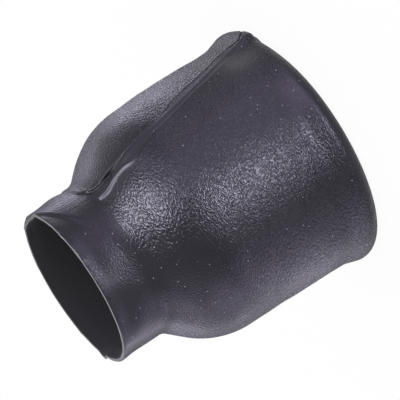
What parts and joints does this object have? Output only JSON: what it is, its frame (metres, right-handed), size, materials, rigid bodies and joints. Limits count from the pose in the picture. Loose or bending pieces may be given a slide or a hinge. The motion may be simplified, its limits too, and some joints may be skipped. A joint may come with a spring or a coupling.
{
  "type": "heat shrink boot",
  "caption": "Straight moulded heat shrink boot with a narrow cable neck, a rounded shoulder, a wide body and a thick lip, open at both ends, to seal a cable into a connector.",
  "frame": {"origin": "centre of the lip's end face, on the boot's axis, where it stands", "axes": "+Z along the boot's axis from the lip to the neck, +X through a parting ridge at the shoulder"},
  "size_m": [0.032, 0.032, 0.0342],
  "materials": {
    "black_elastomer": "satin black moulded elastomer with a fine pebbled grain, smooth on the neck and the parting ridges"
  },
  "bodies": {
    "root": {"boot": "black_elastomer"}
  },
  "joints": []
}
